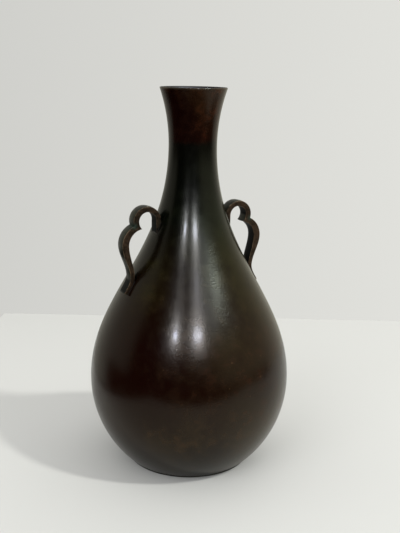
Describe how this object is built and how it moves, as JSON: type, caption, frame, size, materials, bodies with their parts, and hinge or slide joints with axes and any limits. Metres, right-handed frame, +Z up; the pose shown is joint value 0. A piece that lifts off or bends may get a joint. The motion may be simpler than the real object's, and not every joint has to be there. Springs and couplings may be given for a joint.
{
  "type": "bronze hu vessel",
  "caption": "Pear-shaped bronze bottle vessel with a slender flared neck, a low foot and lobed ear handles on the shoulder, for holding flowers or liquid or for display.",
  "frame": {"origin": "centre of the foot's underside", "axes": "+Z up along the vessel's axis, +X to the handle on the right in the picture, +Y away from the viewer"},
  "size_m": [0.1452, 0.1452, 0.27],
  "materials": {
    "patinated_bronze": "waxed dark brown patina, satin gloss",
    "handle_bronze": "waxed brown patina, worn at the edges",
    "pin_bronze": "dull cast bronze",
    "hard_solder": "toned hard solder"
  },
  "bodies": {
    "root": {"vessel_shell": "patinated_bronze", "base_disc": "patinated_bronze", "base_solder_ring": "hard_solder", "left_handle": "handle_bronze", "right_handle": "handle_bronze", "left_upper_pin": "pin_bronze", "left_lower_pin": "pin_bronze", "right_upper_pin": "pin_bronze", "right_lower_pin": "pin_bronze", "left_upper_solder": "hard_solder", "left_lower_solder": "hard_solder", "right_upper_solder": "hard_solder", "right_lower_solder": "hard_solder"}
  },
  "joints": []
}
